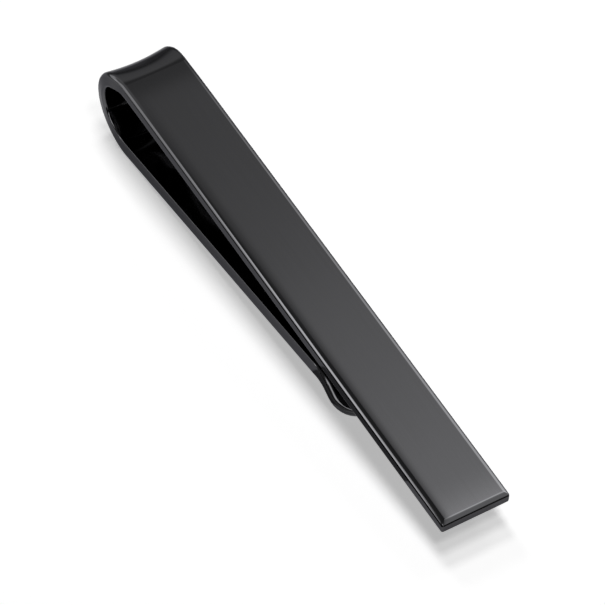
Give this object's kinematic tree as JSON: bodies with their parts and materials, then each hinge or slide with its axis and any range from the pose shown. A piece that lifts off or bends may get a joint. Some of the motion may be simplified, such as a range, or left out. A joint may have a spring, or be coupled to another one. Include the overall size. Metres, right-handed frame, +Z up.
{
  "type": "tie clip",
  "caption": "Slim tie clip bent from a polished black metal strip: flat front bar, round spring loop and a tail whose ridge grips the tie.",
  "frame": {"origin": "on the surface the clip lies on, under the middle of its box", "axes": "+X along the clip towards the free end of the bar, +Y across the strip, +Z up, with the bar's face side up"},
  "size_m": [0.0554, 0.0069, 0.0086],
  "materials": {
    "strip": "mirror-polished steel, black plated"
  },
  "bodies": {
    "tail_spring": {"spring_loop": "strip", "spring_tail": "strip", "grip_ridge": "strip", "lead_in_lip": "strip"},
    "bar": {"front_bar": "strip"}
  },
  "joints": [
    {"name": "clip_flex", "type": "hinge", "parent": "tail_spring", "child": "bar", "pos_m": [-0.02342, 0, 0.0043], "axis": [0, -1, 0], "range_deg": [-0.4, 7], "stiffness_Nm_per_rad": 8, "deforming": ["spring_loop"]}
  ]
}
